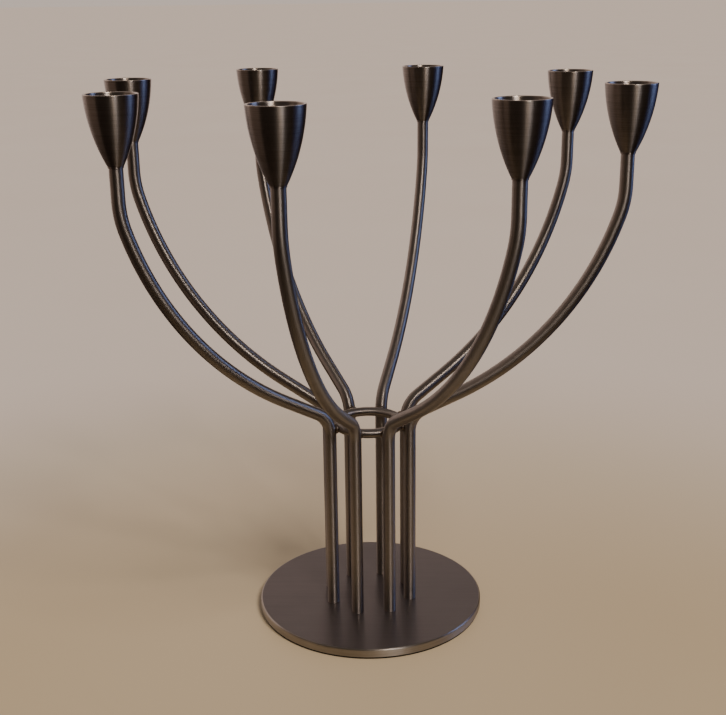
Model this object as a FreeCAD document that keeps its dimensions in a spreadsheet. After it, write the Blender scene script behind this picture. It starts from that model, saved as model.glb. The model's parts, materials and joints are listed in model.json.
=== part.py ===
import FreeCAD, Part
import math
import os

import Sketcher

# Round candelabra with eight candle cups, in millimetres.
# The origin is the centre of the foot on the table top, and +Z is up.
# Eight bent round bars stand in a ring on a round steel plate. Each sweeps out and up to a turned
# cup, and a smaller ring of bar ties them where they bend. Every arm is drawn in the XZ plane with
# its cup, turned a little about its own stem, and then turned about Z into its place.

SIZES = [
    # alias, value, what it is
    ("arm_count", 8, "arms, evenly spaced"),
    ("pad_inset", 0.6, "plate's edge to the anti-slip pad's edge"),
    ("pad_thickness", 1.3, "anti-slip pad"),
    ("base_diameter", 150.5, "foot plate across"),
    ("base_thickness", 5.5, "foot plate"),
    ("base_edge_round", 1.0, "rounding of the plate's top edge"),
    ("base_edge_bevel", 0.4, "bevel of the plate's bottom edge"),
    ("rod_diameter", 8.0, "round bar of the arms"),
    ("stem_circle_radius", 28.0, "foot plate centre to a stem's axis"),
    ("cup_circle_radius", 156.8, "foot plate centre to a cup's axis, before the arm leans"),
    ("arm_lean", 2.7, "turn of each arm about its own stem, degrees, all to the same side"),
    ("arm_top_height", 310.0, "table to the top end of an arm"),
    ("arm_rise", 182.0, "start of an arm's first bend to its top end"),
    ("shoulder_radius", 17.8, "bend at the shoulder, on the bar's axis"),
    ("shoulder_slope", 29.5, "angle of the straight run above level, degrees"),
    ("run_length", 25.0, "straight run after the shoulder"),
    ("crook_radius", 60.0, "last bend, to upright"),
    ("end_length", 18.16, "upright end of an arm, below its cup"),
    ("ring_bar_diameter", 6.1, "round bar of the tie ring"),
    ("ring_rise", 3.0, "start of the arms' first bend to the tie ring's axis"),
    ("ring_gap", 0.3, "tie ring to stem, filled by the weld"),
    ("weld_rise", 0.65, "weld bead, a ball on the gap between ring and stem, above the ring's bar"),
    ("cup_height", 39.8, "cup, bottom to rim"),
    ("neck_step", 0.45, "arm's side to the side of the cup's bottom"),
    ("neck_height", 0.8, "straight part at the cup's bottom"),
    ("seat_diameter", 22.2, "candle seat, for candles of 22 mm"),
    ("seat_floor", 21.0, "cup's bottom to the seat's floor"),
    ("seat_depth", 10.0, "straight wall of the candle seat"),
    ("seat_wall", 1.0, "cup wall beside the seat's floor"),
    ("rim_flare", 2.6, "seat's wall to the inside of the rim"),
    ("rim_wall", 1.3, "cup wall at the rim"),
    ("stem_seat_depth", 1.0, "recess in the plate for a stem"),
    ("stem_seat_clearance", 0.1, "gap all round a stem in its recess"),
    ("screw_diameter", 4.0, "screws and studs"),
    ("screw_length", 14.0, "countersunk screw, whole length"),
    ("screw_head_diameter", 8.0, "countersunk head across"),
    ("screw_key", 2.5, "hexagon socket across flats"),
    ("screw_key_depth", 1.4, "hexagon socket"),
    ("screw_clearance", 0.25, "gap all round a screw in the plate"),
    ("thread_clearance", 0.03, "gap all round a thread"),
    ("drill_spare", 1.5, "tapped hole past the end of its thread"),
    ("stud_length", 16.0, "stud between an arm and its cup"),
    ("stud_bevel", 0.5, "bevel at a stud's ends"),
]

doc = FreeCAD.newDocument("candelabra")
sheet = doc.addObject("Spreadsheet::Sheet", "Sizes")
for row, (alias, number, words) in enumerate(SIZES, start=1):
    sheet.set(f"A{row}", words)
    sheet.set(f"B{row}", str(number))
    sheet.setAlias(f"B{row}", alias)
doc.recompute()

VALUES = {alias: number for alias, number, words in SIZES}
ARM_COUNT = VALUES["arm_count"]
Z_AXIS = FreeCAD.Vector(0, 0, 1)
START, END = 1, 2  # ends of a sketch's line or arc
ORIGIN = -1, 1  # a sketch's own origin point

# Heights and places that several pieces share, as expressions on the sheet.
ARM_FOOT = "Sizes.pad_thickness + Sizes.base_thickness - Sizes.stem_seat_depth"
SHOULDER_HEIGHT = "Sizes.arm_top_height - Sizes.arm_rise"
RING_HEIGHT = f"{SHOULDER_HEIGHT} + Sizes.ring_rise"
ROD_RADIUS = "Sizes.rod_diameter / 2"
THREAD_RADIUS = "Sizes.screw_diameter / 2"
TAPPED_RADIUS = "Sizes.screw_diameter / 2 + Sizes.thread_clearance"
SCREW_REACH = "Sizes.screw_length - Sizes.base_thickness + Sizes.stem_seat_depth + Sizes.drill_spare"
STUD_REACH = "Sizes.stud_length / 2 + Sizes.drill_spare"
RING_RADIUS = (
    "Sizes.stem_circle_radius - Sizes.rod_diameter / 2 - Sizes.ring_bar_diameter / 2 - Sizes.ring_gap"
)
SEAT_TOP = "Sizes.seat_floor + Sizes.seat_depth"


def value_of(expression):
    """The number that an expression on the sheet gives."""
    found = sheet.evalExpression(expression)
    return float(getattr(found, "Value", found))


def place(number):
    """Turns a piece drawn in the XZ plane to the place of the stem with that number."""
    return FreeCAD.Placement(FreeCAD.Vector(), FreeCAD.Rotation(Z_AXIS, 360.0 * (number - 1) / ARM_COUNT))


def leaning_place(number):
    """The place of an arm and what is on it: turned about its own stem, then to the stem's place."""
    lean = FreeCAD.Rotation(Z_AXIS, VALUES["arm_lean"])
    stem = FreeCAD.Vector(VALUES["stem_circle_radius"], 0, 0)
    return place(number).multiply(FreeCAD.Placement(FreeCAD.Vector(), lean, stem))


def new_body(label):
    """An empty PartDesign body."""
    body = doc.addObject("PartDesign::Body", label)
    body.Label = label
    return body


def new_sketch(body, name, plane, across="0", up="0"):
    """A sketch on one of the body's own origin planes, its origin moved across and up in that plane."""
    sketch = body.newObject("Sketcher::SketchObject", name)
    face = [feature for feature in body.Origin.OriginFeatures if feature.Role == plane][0]
    sketch.AttachmentSupport = [(face, "")]
    sketch.MapMode = "FlatFace"
    sketch.setExpression("AttachmentOffset.Base.x", across)
    sketch.setExpression("AttachmentOffset.Base.y", up)
    return sketch


def bind(sketch, expression, *constraint):
    """Adds a constraint whose size is an expression on the sheet."""
    index = sketch.addConstraint(Sketcher.Constraint(*constraint, value_of(expression)))
    sketch.setExpression(f"Constraints[{index}]", expression)


def pin(sketch, edge, end, across, up):
    """Holds one end of an edge at a point, given as two expressions."""
    for kind, expression in (("DistanceX", across), ("DistanceY", up)):
        if expression == "0":
            sketch.addConstraint(Sketcher.Constraint(kind, *ORIGIN, edge, end, 0.0))
        else:
            bind(sketch, expression, kind, *ORIGIN, edge, end)


def draw_outline(sketch, corners):
    """A closed outline of straight edges through corners given as pairs of expressions."""
    points = [FreeCAD.Vector(value_of(across), value_of(up), 0) for across, up in corners]
    count = len(corners)
    for index, (across, up) in enumerate(corners):
        sketch.addGeometry(Part.LineSegment(points[index], points[(index + 1) % count]))
        pin(sketch, index, START, across, up)
    for index in range(count):
        sketch.addConstraint(Sketcher.Constraint("Coincident", index, END, (index + 1) % count, START))


def turn_profile(body, kind, name, sketch):
    """Turns a sketch about its own upright axis: kind is Revolution to add or Groove to cut."""
    feature = body.newObject(f"PartDesign::{kind}", name)
    feature.Profile = sketch
    feature.ReferenceAxis = (sketch, ["V_Axis"])
    feature.Angle = 360.0
    return feature


def cut_tapped_hole(body, name, across, up, depth):
    """A blind hole on an upright axis. Depth runs up from the point, or down when it is negative."""
    sketch = new_sketch(body, f"{name}_profile", "XZ_Plane", across, up)
    draw_outline(sketch, [("0", "0"), (TAPPED_RADIUS, "0"), (TAPPED_RADIUS, depth), ("0", depth)])
    turn_profile(body, "Groove", name, sketch)


def arm_path_points():
    """The bar's axis as edges: a stem, a bend, a straight run, a sweep, a crook and an end."""
    slope = math.radians(VALUES["shoulder_slope"])
    bend, crook = VALUES["shoulder_radius"], VALUES["crook_radius"]
    across = FreeCAD.Vector(-math.sin(slope), math.cos(slope), 0)
    foot = FreeCAD.Vector(VALUES["stem_circle_radius"], value_of(ARM_FOOT), 0)
    shoulder = FreeCAD.Vector(foot.x, value_of(SHOULDER_HEIGHT), 0)
    bend_centre = shoulder + FreeCAD.Vector(bend, 0, 0)
    run_start = bend_centre + across * bend
    run_end = run_start + FreeCAD.Vector(math.cos(slope), math.sin(slope), 0) * VALUES["run_length"]
    top = FreeCAD.Vector(VALUES["cup_circle_radius"], VALUES["arm_top_height"], 0)
    crook_end = top - FreeCAD.Vector(0, VALUES["end_length"], 0)
    crook_centre = crook_end - FreeCAD.Vector(crook, 0, 0)
    # The sweep starts along the run and the crook touches it from within. So the sweep's centre is on
    # the run's normal, one sweep radius away, and the radii's difference from the crook's centre.
    apart = crook_centre - run_end
    sweep = (apart.dot(apart) - crook**2) / (2 * (apart.dot(across) - crook))
    sweep_centre = run_end + across * sweep
    outward = (crook_centre - sweep_centre).normalize()
    join = math.atan2(outward.y, outward.x)
    flat = FreeCAD.Vector(0, 0, 1)
    return [
        Part.LineSegment(foot, shoulder),
        Part.ArcOfCircle(Part.Circle(bend_centre, flat, bend), math.pi / 2 + slope, math.pi),
        Part.LineSegment(run_start, run_end),
        Part.ArcOfCircle(Part.Circle(sweep_centre, flat, sweep), slope - math.pi / 2, join),
        Part.ArcOfCircle(Part.Circle(crook_centre, flat, crook), join, 0),
        Part.LineSegment(crook_end, top),
    ]


def draw_arm_path(body):
    """The sketch of the bar's axis, every edge tangent to the next."""
    sketch = new_sketch(body, f"{body.Name}_path", "XZ_Plane")
    stem, bend, run, sweep, crook, end = (sketch.addGeometry(edge) for edge in arm_path_points())
    pin(sketch, stem, START, "Sizes.stem_circle_radius", ARM_FOOT)
    sketch.addConstraint(Sketcher.Constraint("Vertical", stem))
    bind(sketch, SHOULDER_HEIGHT, "DistanceY", *ORIGIN, stem, END)
    # The bend's arc is drawn counter-clockwise, so the stem meets its end and the run its start.
    joins = [(stem, END, bend, END), (bend, START, run, START), (run, END, sweep, START)]
    joins += [(sweep, END, crook, START), (crook, END, end, START)]
    for join in joins:
        sketch.addConstraint(Sketcher.Constraint("Tangent", *join))
    bind(sketch, "Sizes.shoulder_radius", "Radius", bend)
    slope = sketch.addConstraint(Sketcher.Constraint("Angle", run, math.radians(VALUES["shoulder_slope"])))
    sketch.setExpression(f"Constraints[{slope}]", "Sizes.shoulder_slope * 1deg")
    bind(sketch, "Sizes.run_length", "Distance", run)
    bind(sketch, "Sizes.crook_radius", "Radius", crook)
    sketch.addConstraint(Sketcher.Constraint("Vertical", end))
    bind(sketch, "Sizes.end_length", "Distance", end)
    pin(sketch, end, END, "Sizes.cup_circle_radius", "Sizes.arm_top_height")
    return sketch


def make_base_pad():
    """Thin rubber disc under the plate."""
    pad = doc.addObject("Part::Cylinder", "base_pad")
    pad.Label = "base_pad"
    pad.setExpression("Radius", "Sizes.base_diameter / 2 - Sizes.pad_inset")
    pad.setExpression("Height", "Sizes.pad_thickness")
    return pad


def make_base_plate():
    """Turned steel plate with a recess and a countersunk screw hole under each stem."""
    body = new_body("base_plate")
    plate = new_sketch(body, "plate_profile", "XZ_Plane", up="Sizes.pad_thickness")
    rim, bevel = "Sizes.base_diameter / 2", "Sizes.base_edge_bevel"
    corners = [("0", "0"), (f"{rim} - {bevel}", "0"), (rim, bevel), (rim, "Sizes.base_thickness")]
    draw_outline(plate, corners + [("0", "Sizes.base_thickness")])
    turn_profile(body, "Revolution", "plate", plate)
    doc.recompute()
    top = VALUES["pad_thickness"] + VALUES["base_thickness"]
    edges = [
        f"Edge{number}"
        for number, edge in enumerate(body.Shape.Edges, start=1)
        if abs(edge.BoundBox.ZMin - top) < 1e-6 and abs(edge.BoundBox.ZMax - top) < 1e-6
        and abs(edge.BoundBox.XMax - VALUES["base_diameter"] / 2) < 1e-6
    ]
    rounding = body.newObject("PartDesign::Fillet", "plate_rounding")
    rounding.Base = (body.getObject("plate"), edges)
    rounding.setExpression("Radius", "Sizes.base_edge_round")
    # One stepped cut per stem: countersink from below, clearance hole, and the stem's recess above.
    hole = new_sketch(body, "hole_profile", "XZ_Plane", "Sizes.stem_circle_radius", "Sizes.pad_thickness")
    head = "Sizes.screw_head_diameter / 2 + Sizes.thread_clearance"
    shank = "Sizes.screw_diameter / 2 + Sizes.screw_clearance"
    recess = "Sizes.rod_diameter / 2 + Sizes.stem_seat_clearance"
    ledge = "Sizes.base_thickness - Sizes.stem_seat_depth"
    corners = [("0", "0"), (head, "0"), (shank, f"{head} - ({shank})"), (shank, ledge)]
    corners += [(recess, ledge), (recess, "Sizes.base_thickness"), ("0", "Sizes.base_thickness")]
    draw_outline(hole, corners)
    cut = turn_profile(body, "Groove", "screw_hole", hole)
    doc.recompute()
    pattern = body.newObject("PartDesign::PolarPattern", "screw_holes")
    pattern.Originals = [cut]
    upright = [feature for feature in body.Origin.OriginFeatures if feature.Role == "Z_Axis"][0]
    pattern.Axis = (upright, [""])
    pattern.Angle = 360.0
    pattern.setExpression("Occurrences", "Sizes.arm_count")
    body.Tip = pattern
    return body


def make_arm(number):
    """One bent bar with a tapped hole in each end."""
    body = new_body(f"arm_{number}")
    path = draw_arm_path(body)
    section = new_sketch(body, f"{body.Name}_section", "XY_Plane", across="Sizes.stem_circle_radius")
    section.setExpression("AttachmentOffset.Base.z", ARM_FOOT)
    section.addGeometry(Part.Circle(FreeCAD.Vector(), Z_AXIS, value_of(ROD_RADIUS)))
    section.addConstraint(Sketcher.Constraint("Coincident", 0, 3, *ORIGIN))
    bind(section, ROD_RADIUS, "Radius", 0)
    doc.recompute()
    bar = body.newObject("PartDesign::AdditivePipe", f"{body.Name}_bar")
    bar.Profile = section
    bar.Spine = (path, [])
    doc.recompute()
    cut_tapped_hole(body, f"{body.Name}_foot_hole", "Sizes.stem_circle_radius", ARM_FOOT, SCREW_REACH)
    cut_tapped_hole(
        body, f"{body.Name}_top_hole", "Sizes.cup_circle_radius", "Sizes.arm_top_height", f"-({STUD_REACH})"
    )
    body.Placement = leaning_place(number)
    return body


def make_tie_ring():
    """Ring of round bar inside the cage of stems."""
    ring = doc.addObject("Part::Torus", "tie_ring")
    ring.Label = "tie_ring"
    ring.setExpression("Radius1", RING_RADIUS)
    ring.setExpression("Radius2", "Sizes.ring_bar_diameter / 2")
    ring.setExpression("Placement.Base.z", RING_HEIGHT)
    return ring


def make_weld(arm, ring):
    """The weld bead on the first arm: a ball on the gap, less the bar and the ring that it joins."""
    bead = doc.addObject("Part::Sphere", "bead")
    bead.setExpression("Radius", "Sizes.ring_bar_diameter / 2 + Sizes.weld_rise")
    bead.setExpression("Placement.Base.x", "Sizes.stem_circle_radius - Sizes.rod_diameter / 2")
    bead.setExpression("Placement.Base.z", RING_HEIGHT)
    less_bar = doc.addObject("Part::Cut", "bead_less_bar")
    less_bar.Base, less_bar.Tool = bead, arm
    weld = doc.addObject("Part::Cut", "weld")
    weld.Base, weld.Tool = less_bar, ring
    return weld


def make_cup(number):
    """One turned cup: a curved side, a funnel down to a straight candle seat, and a tapped hole below."""
    body = new_body(f"cup_{number}")
    sketch = new_sketch(
        body, f"{body.Name}_profile", "XZ_Plane", "Sizes.cup_circle_radius", "Sizes.arm_top_height"
    )
    neck, seat = f"{ROD_RADIUS} + Sizes.neck_step", "Sizes.seat_diameter / 2"
    mouth = f"{seat} + Sizes.rim_flare"
    corners = [(f"{mouth} + Sizes.rim_wall", "Sizes.cup_height"), (mouth, "Sizes.cup_height")]
    corners += [(seat, SEAT_TOP), (seat, "Sizes.seat_floor"), ("0", "Sizes.seat_floor")]
    corners += [("0", STUD_REACH), (TAPPED_RADIUS, STUD_REACH), (TAPPED_RADIUS, "0")]
    corners += [(neck, "0"), (neck, "Sizes.neck_height")]
    points = [FreeCAD.Vector(value_of(across), value_of(up), 0) for across, up in corners]
    for index, (across, up) in enumerate(corners[:-1]):
        sketch.addGeometry(Part.LineSegment(points[index], points[index + 1]))
        pin(sketch, index, START, across, up)
    last = len(corners) - 2
    pin(sketch, last, END, *corners[-1])
    for index in range(last):
        sketch.addConstraint(Sketcher.Constraint("Coincident", index, END, index + 1, START))
    # The side is an arc from the neck to the rim that passes the seat's floor one wall away.
    waist = f"{seat} + Sizes.seat_wall", "Sizes.seat_floor"
    passed = FreeCAD.Vector(*(value_of(expression) for expression in waist), 0)
    side = sketch.addGeometry(Part.Arc(points[-1], passed, points[0]))
    sketch.addConstraint(Sketcher.Constraint("Coincident", side, START, last, END))
    sketch.addConstraint(Sketcher.Constraint("Coincident", side, END, 0, START))
    point = sketch.addGeometry(Part.Point(passed), True)
    pin(sketch, point, START, *waist)
    sketch.addConstraint(Sketcher.Constraint("PointOnObject", point, START, side))
    turn_profile(body, "Revolution", f"{body.Name}_turning", sketch)
    body.Placement = leaning_place(number)
    return body


def make_base_screw():
    """Countersunk screw up through the plate into a stem, with a hexagon socket in its head."""
    body = new_body("base_screw")
    across, up = "Sizes.stem_circle_radius", "Sizes.pad_thickness"
    sketch = new_sketch(body, "base_screw_profile", "XZ_Plane", across, up)
    head = "Sizes.screw_head_diameter / 2"
    corners = [("0", "0"), (head, "0"), (THREAD_RADIUS, f"{head} - {THREAD_RADIUS}")]
    corners += [(THREAD_RADIUS, "Sizes.screw_length"), ("0", "Sizes.screw_length")]
    draw_outline(sketch, corners)
    turn_profile(body, "Revolution", "base_screw_turning", sketch)
    socket = new_sketch(body, "base_screw_hexagon", "XY_Plane", across=across)
    socket.setExpression("AttachmentOffset.Base.z", up)
    corner_reach = "Sizes.screw_key / sqrt(3)"
    turns = [f"{60 * index} deg" for index in range(6)]
    draw_outline(socket, [(f"{corner_reach} * cos({t})", f"{corner_reach} * sin({t})") for t in turns])
    doc.recompute()
    key = body.newObject("PartDesign::Pocket", "base_screw_socket")
    key.Profile = socket
    key.Reversed = True
    key.setExpression("Length", "Sizes.screw_key_depth")
    return body


def make_cup_stud():
    """Headless threaded stud, half in an arm's top end and half in its cup."""
    body = new_body("cup_stud")
    sketch = new_sketch(
        body, "cup_stud_profile", "XZ_Plane", "Sizes.cup_circle_radius", "Sizes.arm_top_height"
    )
    half, bevel = "Sizes.stud_length / 2", "Sizes.stud_bevel"
    tip = f"{THREAD_RADIUS} - {bevel}"
    corners = [("0", f"-({half})"), (tip, f"-({half})"), (THREAD_RADIUS, f"{bevel} - {half}")]
    corners += [(THREAD_RADIUS, f"{half} - {bevel}"), (tip, half), ("0", half)]
    draw_outline(sketch, corners)
    turn_profile(body, "Revolution", "cup_stud_turning", sketch)
    return body


def make_group(label, one, place_of):
    """Copies of one piece at every arm, each put there by place_of, as separate solids in one node."""
    group = doc.addObject("Part::Feature", label)
    group.Label = label
    copies = []
    for number in range(1, ARM_COUNT + 1):
        copy = one.Shape.copy()
        copy.Placement = place_of(number).multiply(copy.Placement)
        copies.append(copy)
    group.Shape = Part.makeCompound([solid for copy in copies for solid in copy.Solids])
    return group


def check(parts):
    """Stops the build if any object failed or any sub-part's shape isn't sound."""
    for item in doc.Objects:
        if {"Invalid", "Error"} & set(item.State):
            raise RuntimeError(f"{item.Label} failed: {item.State}")
    for part in parts:
        if part.Shape.isNull() or not part.Shape.isValid() or not part.Shape.Solids:
            raise RuntimeError(f"{part.Label} has no sound solid")


numbers = range(1, ARM_COUNT + 1)
base_pad = make_base_pad()
base_plate = make_base_plate()
arms = [make_arm(number) for number in numbers]
cups = [make_cup(number) for number in numbers]
tie_ring = make_tie_ring()
weld = make_weld(arms[0], tie_ring)
base_screw = make_base_screw()
cup_stud = make_cup_stud()
doc.recompute()
groups = [
    make_group("tie_ring_welds", weld, place),
    make_group("base_screws", base_screw, place),
    make_group("cup_studs", cup_stud, leaning_place),
]
doc.recompute()

parts = [base_pad, base_plate, *arms, *cups, tie_ring, *groups]
check(parts)
os.makedirs("parts", exist_ok=True)
for part in parts:
    part.Shape.exportStep(f"parts/{part.Label}.step")
    print(f"{part.Label}: {len(part.Shape.Solids)} solid, {part.Shape.Volume:.1f} mm3")
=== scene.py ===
"""Round candelabra in brushed stainless steel, dressed for a studio picture.

Eight bent bars stand in a ring on a disc foot, tied by a small ring, and end in turned candle cups.
Lengths are in metres and +Z is up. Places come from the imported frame. The shape sizes that the frame
doesn't state, such as bend radii, are fields of the class that uses them.
"""

import json
import logging
import math
from collections.abc import Iterator
from dataclasses import dataclass, field, replace
from enum import Enum

import bpy
import numpy as np
from mathutils import Matrix, Vector


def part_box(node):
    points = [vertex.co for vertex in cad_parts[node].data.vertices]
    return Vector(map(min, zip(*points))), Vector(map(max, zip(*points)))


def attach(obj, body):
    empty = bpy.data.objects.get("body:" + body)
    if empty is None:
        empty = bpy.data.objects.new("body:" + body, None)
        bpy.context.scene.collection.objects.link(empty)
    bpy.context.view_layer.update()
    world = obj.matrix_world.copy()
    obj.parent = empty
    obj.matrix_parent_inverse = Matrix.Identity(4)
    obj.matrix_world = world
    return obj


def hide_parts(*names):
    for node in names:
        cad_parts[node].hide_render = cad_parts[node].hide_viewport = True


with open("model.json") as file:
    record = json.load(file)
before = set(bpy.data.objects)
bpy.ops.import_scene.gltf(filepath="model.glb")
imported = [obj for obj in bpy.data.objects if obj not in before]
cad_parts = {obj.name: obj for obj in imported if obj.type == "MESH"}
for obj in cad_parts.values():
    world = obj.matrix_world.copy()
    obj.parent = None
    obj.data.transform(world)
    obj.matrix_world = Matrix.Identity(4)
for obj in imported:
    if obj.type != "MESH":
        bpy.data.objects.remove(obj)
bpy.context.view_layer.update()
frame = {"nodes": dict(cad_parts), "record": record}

LOG = logging.getLogger("candelabra")
MM = 0.001
ARM_NUMBERS = range(1, 9)
TURN = 2 * math.pi
# Outlines: points nearer than this are one, a smaller turn is straight on, a corner's arc has a point
# about every nine degrees, and a long side has one this far from each end.
SAME_PLACE = 1e-7
LEAST_TURN = 1e-6
CORNER_STEP = math.radians(9)
HOLD_LENGTH = 0.12 * MM


def linear(colour: str) -> tuple[float, float, float, float]:
    """Turns an sRGB hex colour to linear light.

    Args:
        colour: six hex digits, such as "8a8078".

    Returns:
        Red, green, blue and an alpha of one.
    """
    parts = [int(colour[index:index + 2], 16) / 255 for index in (0, 2, 4)]
    return (*(part / 12.92 if part <= 0.04045 else ((part + 0.055) / 1.055) ** 2.4 for part in parts), 1.0)


# ---------------------------------------------------------------------------------------- surfaces


@dataclass
class Surface:
    """A closed surface on a grid of rows and columns.

    The columns always run round and meet. The rows meet too when looped, and otherwise the first and
    last rows are each drawn together to one point.
    """

    points: np.ndarray
    texture: np.ndarray
    looped: bool = False
    finish_rows: list[tuple[int, int, int]] = field(default_factory=list)

    def mesh(self, name: str) -> bpy.types.Mesh:
        """Builds the mesh with its UV map, faces outwards.

        Args:
            name: the mesh's name.

        Returns:
            The finished mesh, shaded smooth.
        """
        rows, columns = self.points.shape[:2]
        spans = rows if self.looped else rows - 1
        grids = np.meshgrid(np.arange(spans), np.arange(columns), indexing="ij")
        row, column = (grid.ravel() for grid in grids)
        next_row, next_column = (row + 1) % rows, (column + 1) % columns
        number = np.arange(rows * columns).reshape(rows, columns)
        if not self.looped:
            number[0], number[-1] = number[0, 0], number[-1, 0]
        corners = np.stack(
            [
                number[row, column],
                number[row, next_column],
                number[next_row, next_column],
                number[next_row, column],
            ],
            axis=1,
        )
        texture = np.stack(
            [
                self.texture[row, column],
                self.texture[row, column + 1],
                self.texture[row + 1, column + 1],
                self.texture[row + 1, column],
            ],
            axis=1,
        )
        kept, corners = np.unique(corners, return_inverse=True)
        corners = corners.reshape(-1, 4)
        points = self.points.reshape(-1, 3)[kept]
        first, second, third, fourth = (points[corners[:, index]] for index in range(4))
        volume = np.einsum("ij,ij->", first, np.cross(second, third) + np.cross(third, fourth))
        if volume < 0:
            corners, texture = corners[:, ::-1], texture[:, ::-1]
        flat = corners.ravel()
        # At a drawn-together row a face has the same point twice running, so it keeps only three corners.
        repeats = corners == np.roll(corners, 1, axis=1)
        keep = ~repeats.ravel()
        sizes = 4 - repeats.sum(axis=1)
        mesh = bpy.data.meshes.new(name)
        mesh.vertices.add(len(points))
        mesh.vertices.foreach_set("co", points.astype(np.float32).ravel())
        mesh.loops.add(int(keep.sum()))
        mesh.loops.foreach_set("vertex_index", flat[keep].astype(np.int32))
        mesh.polygons.add(len(corners))
        mesh.polygons.foreach_set("loop_start", np.concatenate([[0], np.cumsum(sizes)[:-1]]).astype(np.int32))
        finish = np.zeros(len(corners), np.int32)
        for start, end, index in self.finish_rows:
            finish[(row >= start) & (row < end)] = index
        mesh.polygons.foreach_set("material_index", finish)
        layer = mesh.uv_layers.new(name="UVMap")
        layer.data.foreach_set("uv", texture.reshape(-1, 2)[keep].astype(np.float32).ravel())
        mesh.update(calc_edges=True)
        mesh.validate()
        mesh.shade_smooth()
        return mesh


def rounded_outline(corners: list[tuple[float, float, float]], step: float) -> np.ndarray:
    """An open outline through corners, each rounded by an arc tangent to its two sides.

    An arc of radius r at a corner that turns by t starts r * tan(t / 2) before it. Its points are the
    centre plus r times the unit vector that turns evenly from one side's normal to the other's.

    Args:
        corners: radius from the axis, height, and rounding radius of each corner.
        step: longest distance between points on a straight side.

    Returns:
        The points, one row of radius and height each.
    """
    places = np.array([corner[:2] for corner in corners], float)
    pieces = [places[:1]]
    for index in range(1, len(corners) - 1):
        before, here, after = places[index - 1:index + 2]
        towards = (here - before) / np.linalg.norm(here - before)
        away = (after - here) / np.linalg.norm(after - here)
        cross, dot = towards[0] * away[1] - towards[1] * away[0], float(towards @ away)
        turn, radius = math.atan2(cross, dot), corners[index][2]
        if radius <= 0 or abs(turn) < LEAST_TURN:
            pieces.append(here[None])
            continue
        start = here - towards * radius * math.tan(abs(turn) / 2)
        normal = np.array([-towards[1], towards[0]]) * math.copysign(1, turn)
        centre = start + normal * radius
        angles = np.linspace(0, turn, max(4, round(abs(turn) / CORNER_STEP)) + 1)[:, None]
        arm = -normal * radius
        turned = np.concatenate([arm[0] * np.cos(angles) - arm[1] * np.sin(angles),
                                 arm[0] * np.sin(angles) + arm[1] * np.cos(angles)], axis=1)
        pieces.append(centre + turned)
    pieces.append(places[-1:])
    return spaced(np.concatenate(pieces), step)


def spaced(outline: np.ndarray, step: float) -> np.ndarray:
    """Adds points to the long sides of an outline: evenly, and close to each end to hold the shading flat."""
    result = [outline[:1]]
    for start, end in zip(outline[:-1], outline[1:]):
        length = float(np.linalg.norm(end - start))
        if length < SAME_PLACE:
            continue
        if length > step:
            hold = min(HOLD_LENGTH / length, 0.2)
            shares = np.concatenate([np.linspace(hold, 1 - hold, max(2, round(length / step)) + 1), [1.0]])
            result.append(start + (end - start) * shares[:, None])
        else:
            result.append(end[None])
    return np.concatenate(result)


def turned_surface(outline: np.ndarray, centre: tuple[float, float], segments: int) -> Surface:
    """A surface turned about an upright axis: the point at angle a is (r cos a, r sin a, z).

    The UV map is in metres: round the axis at the outline's largest radius, and along the outline.

    Args:
        outline: radius and height of each point, starting and ending on the axis.
        centre: where the axis stands.
        segments: columns round the axis.

    Returns:
        The surface.
    """
    angles = np.linspace(0, TURN, segments + 1)
    radius, height = outline[:, :1], outline[:, 1:]
    x, y = centre[0] + radius * np.cos(angles[:-1]), centre[1] + radius * np.sin(angles[:-1])
    points = np.stack([x, y, np.broadcast_to(height, x.shape)], axis=-1)
    lengths = np.concatenate([[0], np.cumsum(np.linalg.norm(np.diff(outline, axis=0), axis=1))])
    around = angles * outline[:, 0].max()
    texture = np.stack(np.broadcast_arrays(around[None, :], lengths[:, None]), axis=-1)
    return Surface(points, texture)


def carried_surface(path: np.ndarray, radius: np.ndarray, side: np.ndarray, segments: int) -> Surface:
    """A round section carried along a path that lies in one plane.

    The point at angle a is the path's point plus radius * (cos a * normal + sin a * side), where side is
    the plane's normal and the other normal is side crossed with the path's direction.

    Args:
        path: the axis's points, the first and last of them repeated for the closing ends.
        radius: the section's radius at each point.
        side: unit normal of the plane of the path.
        segments: columns round the section.

    Returns:
        The surface, with a UV map in metres, round and along.
    """
    steps = np.linalg.norm(np.diff(path, axis=0), axis=1)
    lengths = np.concatenate([[0], np.cumsum(steps)])
    distinct = np.concatenate([[True], steps > SAME_PLACE])
    direction = np.gradient(path[distinct], lengths[distinct], axis=0)
    direction = direction[np.cumsum(distinct) - 1]
    direction /= np.linalg.norm(direction, axis=1, keepdims=True)
    normal = np.cross(side, direction)
    angles = np.linspace(0, TURN, segments + 1)
    ring = np.cos(angles[:-1])[None, :, None] * normal[:, None] + np.sin(angles[:-1])[None, :, None] * side
    points = path[:, None] + radius[:, None, None] * ring
    along = lengths + np.concatenate([[0], np.cumsum(np.abs(np.diff(radius)))])
    around = angles * radius.max()
    texture = np.stack(np.broadcast_arrays(around[None, :], along[:, None]), axis=-1)
    return Surface(points, texture)


def arc_points(centre: np.ndarray, radius: float, start: float, end: float, step: float) -> np.ndarray:
    """Points of an arc in the XZ plane: centre plus radius times (cos a, sin a), a running evenly."""
    angles = np.linspace(start, end, max(3, round(radius * abs(end - start) / step)) + 1)
    return np.stack([centre[0] + radius * np.cos(angles), centre[1] + radius * np.sin(angles)], axis=1)


def about_axis(surface: Surface, angle: float, axis_x: float = 0.0) -> Surface:
    """The surface turned by an angle about an upright axis that stands on the X axis."""
    turn, axis = np.array(Matrix.Rotation(angle, 3, "Z")), np.array([axis_x, 0.0, 0.0])
    return replace(surface, points=(surface.points - axis) @ turn.T + axis)


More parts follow.
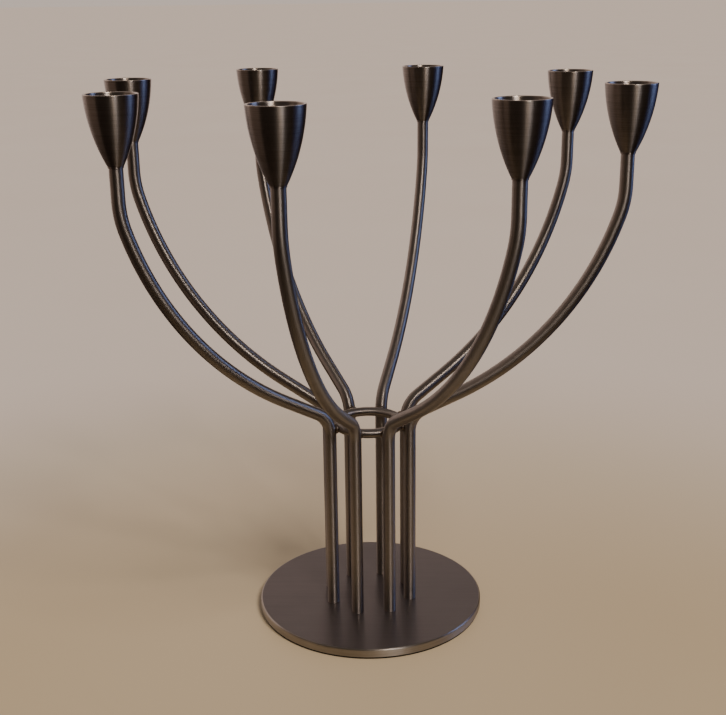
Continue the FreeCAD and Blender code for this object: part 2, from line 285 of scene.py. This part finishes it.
def round_the_ring(surface: Surface) -> Iterator[tuple[int, Surface]]:
    """Each arm's number and the first arm's surface turned to that arm's place."""
    for number in ARM_NUMBERS:
        yield number, about_axis(surface, TURN * (number - 1) / len(ARM_NUMBERS))


class Slot(Enum):
    """The record's material slots."""

    FOOT = "foot_steel"
    BAR = "bar_steel"
    CUP = "cup_steel"
    WELD = "weld_steel"
    RUBBER = "pad_rubber"


def add_piece(
    name: str, surface: Surface, slot: Slot, stands_for: list[str], finishes: list[bpy.types.Material]
) -> None:
    """Builds a surface's mesh and puts it into the scene as a piece of the object.

    Args:
        name: the piece's name, and its mesh's.
        surface: its shape, already in place.
        slot: the record's material slot, not used.
        stands_for: the CAD nodes that it replaces.
        finishes: the materials, in the order of the surface's finish rows.
    """
    mesh = surface.mesh(name)
    piece = bpy.data.objects.new(name, mesh)
    bpy.context.scene.collection.objects.link(piece)
    for finish in finishes:
        mesh.materials.append(finish)
    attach(piece, "root")
    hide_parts(*stands_for)
    LOG.info("%s: %d faces", name, len(mesh.polygons))


# ---------------------------------------------------------------------------------------- finishes


@dataclass
class NodeTree:
    """A material's or world's nodes, added one at a time."""

    tree: bpy.types.NodeTree

    def add(self, kind: str, settings: dict | None = None, **inputs) -> bpy.types.Node:
        """Adds a node.

        Args:
            kind: the node's type name.
            settings: values of the node's own properties.
            inputs: socket values or output sockets to link, named by socket with _ for a space. A name
                that starts with input_ is the number of a socket.

        Returns:
            The node.
        """
        node = self.tree.nodes.new(kind)
        for name, value in (settings or {}).items():
            setattr(node, name, value)
        for name, value in inputs.items():
            key = int(name[6:]) if name.startswith("input_") else name.replace("_", " ")
            if isinstance(value, bpy.types.NodeSocket):
                self.tree.links.new(value, node.inputs[key])
            else:
                node.inputs[key].default_value = value
        return node


@dataclass(frozen=True)
class BrushedStainless:
    """Stainless steel 304, brushed or turned: a dim mirror streaked across its fine lines.

    The lines run along U. Real scratches lie some hundredths of a millimetre apart. They are drawn as
    coarse as the picture can show, and the finer ones are left to the shader's anisotropy.

    The tone mixes three noises by their shares: fine lines, broad bands of lines and clouds. The tone span
    is the part of the mix that goes from dark to light, and the gloss follows it by its swing.
    """

    name: str
    light: str
    dark: str
    roughness: float
    anisotropy: float
    line_spacing: float
    line_length: float
    line_depth: float
    cloud_size: float = 14 * MM
    band_scale: float = 9.0
    line_share: float = 0.6
    band_share: float = 0.35
    cloud_share: float = 0.25
    tone_span: tuple[float, float] = (0.42, 0.78)
    gloss_swing: float = 0.04

    def build(self) -> bpy.types.Material:
        """Makes the material.

        Returns:
            The material, which reads the piece's UV map in metres.
        """
        material = bpy.data.materials.new(self.name)
        material.use_nodes = True
        nodes = NodeTree(material.node_tree)
        shader = material.node_tree.nodes["Principled BSDF"]
        place = nodes.add("ShaderNodeTexCoord").outputs["UV"]
        scale = (1 / self.line_length, 1 / self.line_spacing, 1.0)
        streak = nodes.add("ShaderNodeMapping", {"vector_type": "POINT"}, Vector=place, Scale=scale)
        lines = nodes.add(
            "ShaderNodeTexNoise", {"noise_dimensions": "2D"},
            Vector=streak.outputs["Vector"], Scale=1.0, Detail=3.0, Roughness=0.65,
        )
        broad = nodes.add(
            "ShaderNodeMapping", {"vector_type": "POINT"},
            Vector=place, Scale=tuple(value / self.band_scale for value in scale),
        )
        bands = nodes.add(
            "ShaderNodeTexNoise", {"noise_dimensions": "2D"},
            Vector=broad.outputs["Vector"], Scale=1.0, Detail=2.0, Roughness=0.5,
        )
        cloud = nodes.add(
            "ShaderNodeTexNoise", {"noise_dimensions": "3D"},
            Vector=nodes.add("ShaderNodeTexCoord").outputs["Object"], Scale=1 / self.cloud_size, Detail=4.0,
            Roughness=0.55,
        )
        mixed = nodes.add(
            "ShaderNodeMath", {"operation": "MULTIPLY_ADD"},
            input_0=lines.outputs["Fac"], input_1=self.line_share, input_2=nodes.add(
                "ShaderNodeMath", {"operation": "MULTIPLY_ADD"},
                input_0=bands.outputs["Fac"], input_1=self.band_share, input_2=nodes.add(
                    "ShaderNodeMath", {"operation": "MULTIPLY"},
                    input_0=cloud.outputs["Fac"], input_1=self.cloud_share,
                ).outputs["Value"],
            ).outputs["Value"],
        )
        tone = nodes.add(
            "ShaderNodeMapRange", {"clamp": True}, input_0=mixed.outputs["Value"],
            input_1=self.tone_span[0], input_2=self.tone_span[1], input_3=0.0, input_4=1.0,
        )
        colour = nodes.add(
            "ShaderNodeMix", {"data_type": "RGBA"}, input_0=tone.outputs["Result"],
            input_6=linear(self.dark), input_7=linear(self.light),
        )
        gloss = nodes.add(
            "ShaderNodeMapRange", {"clamp": True}, input_0=mixed.outputs["Value"],
            input_1=self.tone_span[0], input_2=self.tone_span[1],
            input_3=self.roughness * (1 + self.gloss_swing), input_4=self.roughness * (1 - self.gloss_swing),
        )
        bump = nodes.add(
            "ShaderNodeBump", Height=lines.outputs["Fac"], Strength=1.0, Distance=self.line_depth
        )
        tangent = nodes.add("ShaderNodeTangent", {"direction_type": "UV_MAP", "uv_map": "UVMap"})
        links = material.node_tree.links
        links.new(colour.outputs[2], shader.inputs["Base Color"])
        links.new(gloss.outputs["Result"], shader.inputs["Roughness"])
        links.new(bump.outputs["Normal"], shader.inputs["Normal"])
        links.new(tangent.outputs["Tangent"], shader.inputs["Tangent"])
        shader.inputs["Metallic"].default_value = 1.0
        shader.inputs["Anisotropic"].default_value = self.anisotropy
        # The scratches spread light across themselves, a quarter turn from the lines.
        shader.inputs["Anisotropic Rotation"].default_value = 0.25
        return material


@dataclass(frozen=True)
class SheetRubber:
    """Black nitrile rubber sheet, cut to a disc: dull, with a faint grain from the roller."""

    name: str = "nitrile_rubber_cut_sheet"
    light: str = "141211"
    dark: str = "080707"
    grain: float = 0.6 * MM
    grain_depth: float = 0.02 * MM

    def build(self) -> bpy.types.Material:
        """Makes the material.

        Returns:
            The material, which reads the piece's own coordinates in metres.
        """
        material = bpy.data.materials.new(self.name)
        material.use_nodes = True
        nodes = NodeTree(material.node_tree)
        shader = material.node_tree.nodes["Principled BSDF"]
        place = nodes.add("ShaderNodeTexCoord").outputs["Object"]
        grain = nodes.add("ShaderNodeTexNoise", Vector=place, Scale=1 / self.grain, Detail=4.0, Roughness=0.6)
        colour = nodes.add(
            "ShaderNodeMix", {"data_type": "RGBA"}, input_0=grain.outputs["Fac"],
            input_6=linear(self.dark), input_7=linear(self.light),
        )
        bump = nodes.add(
            "ShaderNodeBump", Height=grain.outputs["Fac"], Strength=1.0, Distance=self.grain_depth
        )
        material.node_tree.links.new(colour.outputs[2], shader.inputs["Base Color"])
        material.node_tree.links.new(bump.outputs["Normal"], shader.inputs["Normal"])
        shader.inputs["Roughness"].default_value = 0.9
        shader.inputs["IOR"].default_value = 1.52
        return material


BAR_STEEL = BrushedStainless(
    name="stainless_304_centreless_ground", light="9c938c", dark="938b83", roughness=0.44, anisotropy=0.80,
    line_spacing=0.8 * MM, line_length=8 * MM, line_depth=0.0002 * MM,
)
CUP_STEEL = BrushedStainless(
    name="stainless_304_turned", light="988e86", dark="7d746d", roughness=0.37, anisotropy=0.92,
    line_spacing=0.45 * MM, line_length=30 * MM, line_depth=0.005 * MM,
)
# The lip's steel is glossier than the cup's, and its lighter colour is a painted highlight on the rim.
LIP_STEEL_PAINTED_HIGHLIGHT = BrushedStainless(
    name="stainless_304_polished_edge", light="b8aea2", dark="9c9288", roughness=0.28, anisotropy=0.3,
    line_spacing=0.3 * MM, line_length=20 * MM, line_depth=0.001 * MM,
)
PLATE_STEEL = BrushedStainless(
    name="stainless_304_belt_brushed_plate", light="7f7877", dark="797272", roughness=0.42, anisotropy=0.70,
    line_spacing=0.4 * MM, line_length=45 * MM, line_depth=0.0005 * MM,
)
# The edge's turned lines and gloss are real; its colour, lighter than the plate's steel, is a painted
# highlight.
EDGE_STEEL_PAINTED_HIGHLIGHT = BrushedStainless(
    name="stainless_304_turned_edge", light="aaa39c", dark="8b847c", roughness=0.38, anisotropy=0.90,
    line_spacing=0.5 * MM, line_length=40 * MM, line_depth=0.003 * MM,
)
WELD_STEEL = BrushedStainless(
    name="stainless_tig_weld_dressed", light="8c7e70", dark="66594e", roughness=0.38, anisotropy=0.0,
    line_spacing=0.6 * MM, line_length=1.5 * MM, line_depth=0.01 * MM,
)
FIXING_STEEL = BrushedStainless(
    name="stainless_a2_fastener_rolled", light="a8a5a2", dark="8b8885", roughness=0.35, anisotropy=0.0,
    line_spacing=0.5 * MM, line_length=2 * MM, line_depth=0.002 * MM,
)


# ------------------------------------------------------------------------------------ sub-assemblies


@dataclass
class Arms:
    """The eight bent bars. Each is one bar: stem, shoulder bend, straight run, sweep, crook and end.

    A bar is drawn in the XZ plane, turned by a small lean about its own stem and then put in its place.
    """

    rise: float = 182 * MM
    shoulder_radius: float = 17.8 * MM
    shoulder_slope: float = math.radians(29.5)
    run_length: float = 25 * MM
    crook_radius: float = 60 * MM
    end_length: float = 18.16 * MM
    end_bevel: float = 0.15 * MM
    step: float = 2.0 * MM
    segments: int = 56

    def __post_init__(self) -> None:
        """Reads the bar's size, place and lean from the boxes of the first arm and of its cup.

        The lean turns the bar away from its stem's side, which is the lowest place in X and Y.
        """
        low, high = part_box("arm_1")
        cup_low, cup_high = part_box("cup_1")
        cup = (cup_low + cup_high) / 2
        self.bar_radius: float = -low.y
        self.stem_radius: float = low.x + self.bar_radius
        self.reach: float = math.hypot(cup.x - self.stem_radius, cup.y)
        self.lean: float = math.atan2(cup.y, cup.x - self.stem_radius)
        self.foot: float = low.z
        self.top: float = high.z

    def path(self) -> np.ndarray:
        """The bar's axis in the XZ plane, as points.

        Each arc is tangent to what comes before and after it. The sweep's centre is on the run's normal,
        one sweep radius away, and the difference of the two radii from the crook's centre, so with d from
        the run's end to the crook's centre the sweep's radius is (d . d - c * c) / (2 * (d . normal - c)).

        Returns:
            Distance from the object's axis and height of each point, between the two end bevels.
        """
        bend, crook, slope = self.shoulder_radius, self.crook_radius, self.shoulder_slope
        along = np.array([math.cos(slope), math.sin(slope)])
        across = np.array([-math.sin(slope), math.cos(slope)])
        bend_centre = np.array([self.stem_radius + bend, self.top - self.rise])
        run_end = bend_centre + across * bend + along * self.run_length
        crook_centre = np.array([self.stem_radius + self.reach - crook, self.top - self.end_length])
        apart = crook_centre - run_end
        sweep = (apart @ apart - crook**2) / (2 * (apart @ across - crook))
        sweep_centre = run_end + across * sweep
        join = math.atan2(*(crook_centre - sweep_centre)[::-1])
        quarter = math.pi / 2
        stretches = [
            np.array([[self.stem_radius, self.foot + self.end_bevel]]),
            arc_points(bend_centre, bend, 2 * quarter, quarter + slope, self.step / 2),
            arc_points(sweep_centre, sweep, slope - quarter, join, self.step),
            arc_points(crook_centre, crook, join, 0.0, self.step)[1:],
            np.array([[self.stem_radius + self.reach, self.top - self.end_bevel]]),
        ]
        return spaced(np.concatenate(stretches), 2 * self.step)

    def surface(self) -> Surface:
        """The bar with bevelled ends: the radius shrinks by the bevel at each end, then closes to a point."""
        flat = self.path()
        flat = flat[[0, 0, *range(len(flat)), -1, -1]]
        flat[:2, 1], flat[-2:, 1] = self.foot, self.top
        path = np.stack([flat[:, 0], np.zeros(len(flat)), flat[:, 1]], axis=1)
        radius = np.full(len(path), self.bar_radius)
        radius[[0, -1]], radius[[1, -2]] = 0.0, self.bar_radius - self.end_bevel
        upright = carried_surface(path, radius, np.array([0.0, 1.0, 0.0]), self.segments)
        return about_axis(upright, self.lean, self.stem_radius)

    def dress(self, finish: bpy.types.Material) -> None:
        """Makes the eight bars."""
        for number, turned in round_the_ring(self.surface()):
            add_piece(f"bar_{number}", turned, Slot.BAR, [f"arm_{number}"], [finish])


@dataclass
class Cups:
    """The eight turned candle cups: a curved side, a thin lip with a painted highlight, a funnel and a
    straight seat.
    """

    neck_radius: float = 4.45 * MM
    neck_height: float = 0.8 * MM
    neck_round: float = 0.12 * MM
    seat_wall: float = 1.0 * MM
    rim_wall: float = 1.3 * MM
    lip_round: float = 0.4 * MM
    seat_round: float = 0.6 * MM
    step: float = 0.8 * MM
    segments: int = 128

    def __post_init__(self) -> None:
        """Reads the cup's size from the first cup and its seat from the record's mount."""
        low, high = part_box("cup_1")
        self.rim_radius: float = (high.y - low.y) / 2
        self.axis: tuple[float, float] = ((low.x + high.x) / 2, (low.y + high.y) / 2)
        self.bottom: float = low.z
        self.rim: float = high.z
        seat = next(mount for mount in frame["record"]["mounts"] if mount["name"] == "candle_seat_1")
        half = seat["dims"]["length_mm"] * MM / 2
        self.seat_radius: float = seat["dims"]["r_mm"] * MM
        self.seat_floor: float = seat["pos_m"][2] - half
        self.seat_top: float = seat["pos_m"][2] + half

    def side(self) -> np.ndarray:
        """The curved side, an arc from neck to rim that passes the seat's floor one wall away.

        The circle's centre is where the upright bisectors of the arc's two chords meet.
        """
        low = np.array([self.neck_radius, self.bottom + self.neck_height])
        waist = np.array([self.seat_radius + self.seat_wall, self.seat_floor])
        high = np.array([self.rim_radius, self.rim])
        chords = np.stack([waist - low, high - low])
        centre = low + np.linalg.solve(chords, (chords**2).sum(axis=1) / 2)
        radius = float(np.linalg.norm(low - centre))
        start = math.atan2(*(low - centre)[::-1])
        end = math.asin((self.rim - self.lip_round - centre[1]) / radius)
        return arc_points(centre, radius, start, end, self.step)

    def surface(self) -> Surface:
        """The whole cup, turned from its outline, with the lip's rows in a finish of their own."""
        side = self.side()
        foot = [(0.0, self.bottom, 0.0), (self.neck_radius, self.bottom, self.neck_round)]
        foot += [(self.neck_radius, self.bottom + self.neck_height, 0.0)]
        inner = self.rim_radius - self.rim_wall
        top = [(*side[-1], 0.0), (self.rim_radius, self.rim, 0.9 * self.lip_round)]
        top += [(inner, self.rim, self.lip_round), (self.seat_radius, self.seat_top, 2 * self.seat_round)]
        top += [(self.seat_radius, self.seat_floor, self.seat_round), (0.0, self.seat_floor, 0.0)]
        below = rounded_outline(foot, self.step / 2)
        above = rounded_outline(top, self.step)
        outline = np.concatenate([below, side[1:], above[1:]])
        surface = turned_surface(outline, self.axis, self.segments)
        # The lip's rows take the lighter steel, a painted highlight on the rim.
        lip = np.flatnonzero(outline[:, 1] > self.rim - 1.01 * self.lip_round)
        surface.finish_rows = [(int(lip[0]), int(lip[-1]), 1)]
        return surface

    def dress(self, side: bpy.types.Material, lip: bpy.types.Material) -> None:
        """Makes the eight cups."""
        for number, turned in round_the_ring(self.surface()):
            add_piece(f"candle_cup_{number}", turned, Slot.CUP, [f"cup_{number}"], [side, lip])


@dataclass
class Foot:
    """The disc foot with its rounded edge, painted lighter as a highlight, and the thin pad under it."""

    edge_round: float = 1.0 * MM
    edge_bevel: float = 0.4 * MM
    brush_angle: float = math.radians(16)
    step: float = 3 * MM
    segments: int = 256

    def plate(self) -> Surface:
        """The plate, turned, with its top and bottom brushed straight across and its edge polished, in a
        lighter colour that is a painted highlight.
        """
        low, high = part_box("base_plate")
        rim = (high.y - low.y) / 2
        corners = [(0.0, low.z, 0.0), (rim, low.z, self.edge_bevel)]
        corners += [(rim, high.z, self.edge_round), (0.0, high.z, 0.0)]
        outline = rounded_outline(corners, self.step)
        surface = turned_surface(outline, (0.0, 0.0), self.segments)
        # The edge's rows take the lighter steel, a painted highlight.
        edge = np.flatnonzero(outline[:, 0] > rim - self.edge_round * 1.05)
        surface.finish_rows = [(int(edge[0]), int(edge[-1]), 1)]
        flat = np.ones(len(outline), bool)
        flat[edge[0] + 1:edge[-1]] = False
        points = np.concatenate([surface.points, surface.points[:, :1]], axis=1)
        cos, sin = math.cos(self.brush_angle), math.sin(self.brush_angle)
        across = points[..., 0] * cos + points[..., 1] * sin
        back = points[..., 1] * cos - points[..., 0] * sin
        surface.texture = np.where(flat[:, None, None], np.stack([across, back], axis=-1), surface.texture)
        return surface

    def pad(self) -> Surface:
        """The pad, a disc with slightly eased edges."""
        low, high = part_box("base_pad")
        rim, ease = (high.y - low.y) / 2, 0.2 * MM
        corners = [(0.0, low.z, 0.0), (rim, low.z, ease), (rim, high.z, ease), (0.0, high.z, 0.0)]
        return turned_surface(rounded_outline(corners, self.step), (0.0, 0.0), self.segments)

    def dress(self, plate: bpy.types.Material, edge: bpy.types.Material, pad: bpy.types.Material) -> None:
        """Makes the plate and the pad."""
        add_piece("foot_plate", self.plate(), Slot.FOOT, ["base_plate"], [plate, edge])
        add_piece("foot_pad", self.pad(), Slot.RUBBER, ["base_pad"], [pad])


@dataclass
class TieRing:
    """The ring of thinner bar inside the stems, and the dressed welds that join it to them."""

    segments: int = 40
    columns: int = 320
    bead_reach: float = 2.3 * MM
    bead_length: float = 3.9 * MM
    bead_height: float = 3.35 * MM
    bead_out: float = 0.35 * MM
    bead_waist: float = 0.75
    bead_rows: int = 24
    bead_columns: int = 36

    def __post_init__(self) -> None:
        """Reads the ring's size and height from its CAD node."""
        low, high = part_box("tie_ring")
        self.bar_radius: float = (high.z - low.z) / 2
        self.radius: float = (high.y - low.y) / 2 - self.bar_radius
        self.height: float = (high.z + low.z) / 2

    def ring(self) -> Surface:
        """A torus: at angles t round the ring and a round the bar the point is
        ((R + r cos a) cos t, (R + r cos a) sin t, h + r sin a)."""
        angle, section = np.meshgrid(
            np.linspace(0, TURN, self.columns + 1), np.linspace(0, TURN, self.segments + 1), indexing="ij"
        )
        reach = self.radius + self.bar_radius * np.cos(section)
        height = self.height + self.bar_radius * np.sin(section)
        points = np.stack([reach * np.cos(angle), reach * np.sin(angle), height], axis=-1)[:-1, :-1]
        texture = np.stack([section * self.bar_radius, angle * self.radius], axis=-1)
        return Surface(points, texture, looped=True)

    def bead(self) -> Surface:
        """One weld: a ball stretched along the ring, its waist drawn in to follow stem and ring.

        At latitude b and longitude a the point is (x cos b cos a, y cos b sin a, z sin b), and x grows
        from its waist with the square of how far the point lies along the bead.
        """
        latitude, longitude = np.meshgrid(
            np.linspace(-math.pi / 2, math.pi / 2, self.bead_rows + 1),
            np.linspace(0, TURN, self.bead_columns + 1)[:-1],
            indexing="ij",
        )
        along = np.cos(latitude) * np.sin(longitude)
        reach = self.bead_reach * (self.bead_waist + (1 - self.bead_waist) * along**2)
        centre = self.radius + self.bar_radius + self.bead_out
        points = np.stack([
            centre + reach * np.cos(latitude) * np.cos(longitude),
            self.bead_length * along,
            self.height + self.bead_height * np.sin(latitude),
        ], axis=-1)
        around = np.linspace(0, TURN, self.bead_columns + 1) * self.bead_length
        texture = np.stack(np.broadcast_arrays(around, latitude[:, :1] * self.bead_height), axis=-1)
        return Surface(points, texture)

    def dress(self, bar: bpy.types.Material, weld: bpy.types.Material) -> None:
        """Makes the ring and its eight welds."""
        add_piece("tie_ring_bar", self.ring(), Slot.BAR, ["tie_ring"], [bar])
        for number, turned in round_the_ring(self.bead()):
            add_piece(f"tie_ring_weld_{number}", turned, Slot.WELD, ["tie_ring_welds"], [weld])


@dataclass
class Fixings:
    """The hidden screws and studs, which stay as the CAD nodes and only get their finish."""

    nodes: tuple[str, ...] = ("base_screws", "cup_studs")

    def dress(self, finish: bpy.types.Material) -> None:
        """Gives each node its finish."""
        for name in self.nodes:
            mesh = frame["nodes"][name].data
            mesh.materials.clear()
            mesh.materials.append(finish)
            LOG.info("%s: CAD node kept", name)


# ------------------------------------------------------------------------------------------ studio


@dataclass(frozen=True)
class Panel:
    """A soft panel of light that faces the object.

    Azimuth is degrees to the right of the camera and elevation degrees above level, both as seen from the
    object. Distance is from the object's middle, size is width and height, and glow the brightness.
    """

    name: str
    azimuth: float
    elevation: float
    distance: float
    size: tuple[float, float]
    glow: float
    colour: str


PANELS = (
    Panel("lamp", 19, 36, 1.8, (0.34, 0.40), 23.0, "fff0e0"),
    Panel("strip", 26, 24, 1.7, (0.20, 1.1), 5.0, "f3f2f8"),
    Panel("ceiling", 0, 90, 1.3, (5.0, 5.0), 0.16, "f0e4da"),
    Panel("left_side", -80, 8, 1.6, (1.5, 1.6), 0.34, "e0c2b0"),
    Panel("left_wall", -150, 14, 1.8, (4.0, 1.6), 0.95, "ecd6cc"),
    Panel("cool_side", 101, 10, 1.6, (1.6, 1.2), 0.28, "6f8cff"),
    Panel("window", 99, 20, 1.55, (0.55, 0.8), 3.0, "9cbcff"),
)


@dataclass
class Studio:
    """Camera, pale floor and soft lights."""

    camera_place: tuple[float, float, float] = (0.21712, -0.67088, 0.39671)
    camera_heading: float = math.radians(18.185)
    camera_pitch: float = math.radians(-17.41)
    camera_roll: float = math.radians(-0.736)
    camera_focal: float = 56.72
    floor_reach: float = 120.0
    near_floor_reach: float = 0.20
    far_floor_drop: float = 0.03 * MM
    floor_sides: int = 96
    near_tones: tuple[str, str] = ("bfab8e", "c7b496")
    far_tones: tuple[str, str] = ("d9cbc3", "ddd1ca")
    warm_offset: float = 0.30
    warm_span: tuple[float, float] = (0.3, 0.9)
    sheen_span: tuple[float, float] = (0.1, 0.3)
    object_middle: tuple[float, float, float] = (0.0, 0.0, 0.2)
    key_azimuth: float = 38.0
    key_elevation: float = 50.0
    key_spread: float = math.radians(22)
    key_glow: float = 2.6
    key_colour: str = "fff4e6"

    def camera(self) -> None:
        """Sets the camera: heading counts from +Y towards -X, and pitch is up from level."""
        data = bpy.data.cameras.new("camera")
        data.sensor_width, data.lens = 36.0, self.camera_focal
        data.clip_start = 0.01
        camera = bpy.data.objects.new("camera", data)
        turn = Matrix.Rotation(self.camera_heading, 4, "Z")
        turn = turn @ Matrix.Rotation(math.pi / 2 + self.camera_pitch, 4, "X")
        turn = turn @ Matrix.Rotation(self.camera_roll, 4, "Z")
        camera.matrix_world = Matrix.Translation(self.camera_place) @ turn
        bpy.context.scene.collection.objects.link(camera)
        bpy.context.scene.camera = camera

    def floor_finish(self) -> bpy.types.Material:
        """Makes pale painted board: warm in front of the object, cooler and greyer further out.

        Its soft sheen fades to matt with distance from the object's middle.
        """
        material = bpy.data.materials.new("pale_painted_board")
        material.use_nodes = True
        nodes = NodeTree(material.node_tree)
        shader = material.node_tree.nodes["Principled BSDF"]
        place = nodes.add("ShaderNodeTexCoord").outputs["Object"]
        heading, offset = self.camera_heading, self.warm_offset
        ahead = (-offset * math.sin(heading), offset * math.cos(heading), 0.0)
        shifted = nodes.add("ShaderNodeVectorMath", {"operation": "ADD"}, input_0=place, input_1=ahead)
        reach = nodes.add("ShaderNodeVectorMath", {"operation": "LENGTH"}, Vector=shifted.outputs["Vector"])
        far = nodes.add(
            "ShaderNodeMapRange", {"interpolation_type": "SMOOTHSTEP"}, input_0=reach.outputs["Value"],
            input_1=self.warm_span[0], input_2=self.warm_span[1], input_3=0.0, input_4=1.0,
        )
        tone = nodes.add("ShaderNodeTexNoise", Vector=place, Scale=3.0, Detail=2.0)
        near_tone = nodes.add(
            "ShaderNodeMix", {"data_type": "RGBA"}, input_0=tone.outputs["Fac"],
            input_6=linear(self.near_tones[0]), input_7=linear(self.near_tones[1]),
        )
        far_tone = nodes.add(
            "ShaderNodeMix", {"data_type": "RGBA"}, input_0=tone.outputs["Fac"],
            input_6=linear(self.far_tones[0]), input_7=linear(self.far_tones[1]),
        )
        colour = nodes.add(
            "ShaderNodeMix", {"data_type": "RGBA"}, input_0=far.outputs["Result"],
            input_6=near_tone.outputs[2], input_7=far_tone.outputs[2],
        )
        from_middle = nodes.add("ShaderNodeVectorMath", {"operation": "LENGTH"}, Vector=place)
        matt = nodes.add(
            "ShaderNodeMapRange", {"interpolation_type": "SMOOTHSTEP"}, input_0=from_middle.outputs["Value"],
            input_1=self.sheen_span[0], input_2=self.sheen_span[1], input_3=0.0, input_4=1.0,
        )
        chalky = nodes.add("ShaderNodeBsdfDiffuse", Color=colour.outputs[2])
        material.node_tree.links.new(colour.outputs[2], shader.inputs["Base Color"])
        shader.inputs["Roughness"].default_value = 0.45
        shader.inputs["Specular IOR Level"].default_value = 0.25
        faded = nodes.add(
            "ShaderNodeMixShader", input_0=matt.outputs["Result"], input_1=shader.outputs[0],
            input_2=chalky.outputs[0],
        )
        output = material.node_tree.nodes["Material Output"]
        material.node_tree.links.new(faded.outputs[0], output.inputs["Surface"])
        return material

    def floor(self) -> None:
        """Lays the floor. Only its near part shows in the metal, as a table top would."""
        finish = self.floor_finish()
        for name, reach, drop, glossy in (
            ("near_floor", self.near_floor_reach, 0.0, True),
            ("far_floor", self.floor_reach, self.far_floor_drop, False),
        ):
            angles = np.linspace(0, TURN, self.floor_sides + 1)[:-1]
            level = np.full(self.floor_sides, -drop)
            points = np.stack([reach * np.cos(angles), reach * np.sin(angles), level], axis=1)
            mesh = bpy.data.meshes.new(name)
            mesh.from_pydata(points.tolist(), [], [list(range(self.floor_sides))])
            mesh.materials.append(finish)
            floor = bpy.data.objects.new(name, mesh)
            floor.visible_glossy = glossy
            bpy.context.scene.collection.objects.link(floor)

    def outwards(self, azimuth: float, elevation: float) -> Vector:
        """Unit vector from the object, in degrees to the right of the camera and above level."""
        angle = self.camera_heading + math.radians(azimuth)
        level, rise = math.cos(math.radians(elevation)), math.sin(math.radians(elevation))
        return Vector((math.sin(angle) * level, -math.cos(angle) * level, rise))

    def add_panel(self, panel: Panel) -> None:
        """Adds a panel, which shows in the metal and doesn't light the floor."""
        data = bpy.data.lights.new(panel.name, "AREA")
        data.shape, data.size, data.size_y = "RECTANGLE", *panel.size
        data.color = linear(panel.colour)[:3]
        data.energy = panel.glow * math.pi * panel.size[0] * panel.size[1]
        light = bpy.data.objects.new(panel.name, data)
        light.visible_camera = False
        light.visible_diffuse = False
        out = self.outwards(panel.azimuth, panel.elevation)
        place = Vector(self.object_middle) + out * panel.distance
        light.matrix_world = Matrix.Translation(place) @ out.to_track_quat("Z", "Y").to_matrix().to_4x4()
        bpy.context.scene.collection.objects.link(light)

    def lights(self) -> None:
        """Sets the sun that lights the floor, and the panels that the metal shows as soft bands."""
        key = bpy.data.lights.new("key", "SUN")
        key.angle, key.energy, key.color = self.key_spread, self.key_glow, linear(self.key_colour)[:3]
        light = bpy.data.objects.new("key", key)
        light.visible_glossy = False
        out = self.outwards(self.key_azimuth, self.key_elevation)
        light.matrix_world = out.to_track_quat("Z", "Y").to_matrix().to_4x4()
        bpy.context.scene.collection.objects.link(light)
        for panel in PANELS:
            self.add_panel(panel)

    def world(self) -> None:
        """Makes the room: pale behind the object, an even fill for matt things, and dim in the metal."""
        world = bpy.data.worlds.new("room")
        world.use_nodes = True
        nodes = NodeTree(world.node_tree)
        world.node_tree.nodes.clear()
        path = nodes.add("ShaderNodeLightPath")
        dim = nodes.add("ShaderNodeBackground", Color=linear("3a302a"), Strength=0.7)
        fill = nodes.add("ShaderNodeBackground", Color=linear("cfc6bd"), Strength=0.45)
        back = nodes.add("ShaderNodeBackground", Color=linear("cfbfb3"), Strength=1.0)
        matt = nodes.add(
            "ShaderNodeMixShader", input_0=path.outputs["Is Diffuse Ray"], input_1=dim.outputs[0],
            input_2=fill.outputs[0],
        )
        seen = nodes.add(
            "ShaderNodeMixShader", input_0=path.outputs["Is Camera Ray"], input_1=matt.outputs[0],
            input_2=back.outputs[0],
        )
        nodes.add("ShaderNodeOutputWorld", Surface=seen.outputs[0])
        bpy.context.scene.world = world

    def build(self) -> None:
        """Sets up the whole studio."""
        self.camera()
        self.floor()
        self.lights()
        self.world()


def main() -> None:
    """Builds the candelabra and the studio, and keeps the two boxes."""
    logging.basicConfig(level=logging.INFO, format="%(name)s: %(message)s")
    bar, lip = BAR_STEEL.build(), LIP_STEEL_PAINTED_HIGHLIGHT.build()
    Studio().build()
    Arms().dress(bar)
    Cups().dress(CUP_STEEL.build(), lip)
    Foot().dress(PLATE_STEEL.build(), EDGE_STEEL_PAINTED_HIGHLIGHT.build(), SheetRubber().build())
    TieRing().dress(bar, WELD_STEEL.build())
    Fixings().dress(FIXING_STEEL.build())


if __name__ == "__main__":
    main()
